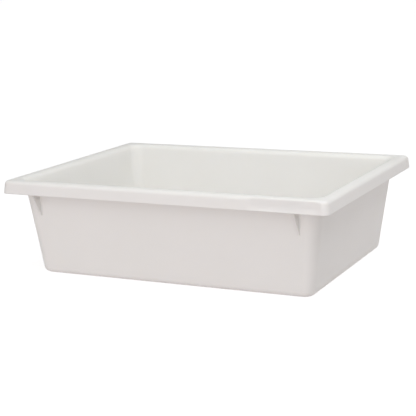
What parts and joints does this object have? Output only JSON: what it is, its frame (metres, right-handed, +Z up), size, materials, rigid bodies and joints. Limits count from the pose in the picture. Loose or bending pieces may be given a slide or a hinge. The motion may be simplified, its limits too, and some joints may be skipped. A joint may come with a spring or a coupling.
{
  "type": "developing tray",
  "caption": "Deep rectangular tray of white plastic for darkroom liquids: drafted walls, rounded heel, flat floor and a turned-out, turned-down rim with webs under it.",
  "frame": {"origin": "centre of the underside of the floor, which the tray rests on", "axes": "+X along the long side, +Y from the front side to the back side, +Z up out of the open top"},
  "size_m": [0.5198, 0.3998, 0.148],
  "materials": {
    "tray_plastic": "satin white moulded plastic, slightly translucent"
  },
  "bodies": {
    "root": {"floor_panel": "tray_plastic", "front_wall": "tray_plastic", "back_wall": "tray_plastic", "left_wall": "tray_plastic", "right_wall": "tray_plastic", "front_left_corner": "tray_plastic", "front_right_corner": "tray_plastic", "back_left_corner": "tray_plastic", "back_right_corner": "tray_plastic", "front_rim": "tray_plastic", "back_rim": "tray_plastic", "left_rim": "tray_plastic", "right_rim": "tray_plastic", "front_left_rim_corner": "tray_plastic", "front_right_rim_corner": "tray_plastic", "back_left_rim_corner": "tray_plastic", "back_right_rim_corner": "tray_plastic", "front_left_web": "tray_plastic", "front_right_web": "tray_plastic", "back_left_web": "tray_plastic", "back_right_web": "tray_plastic"}
  },
  "joints": []
}
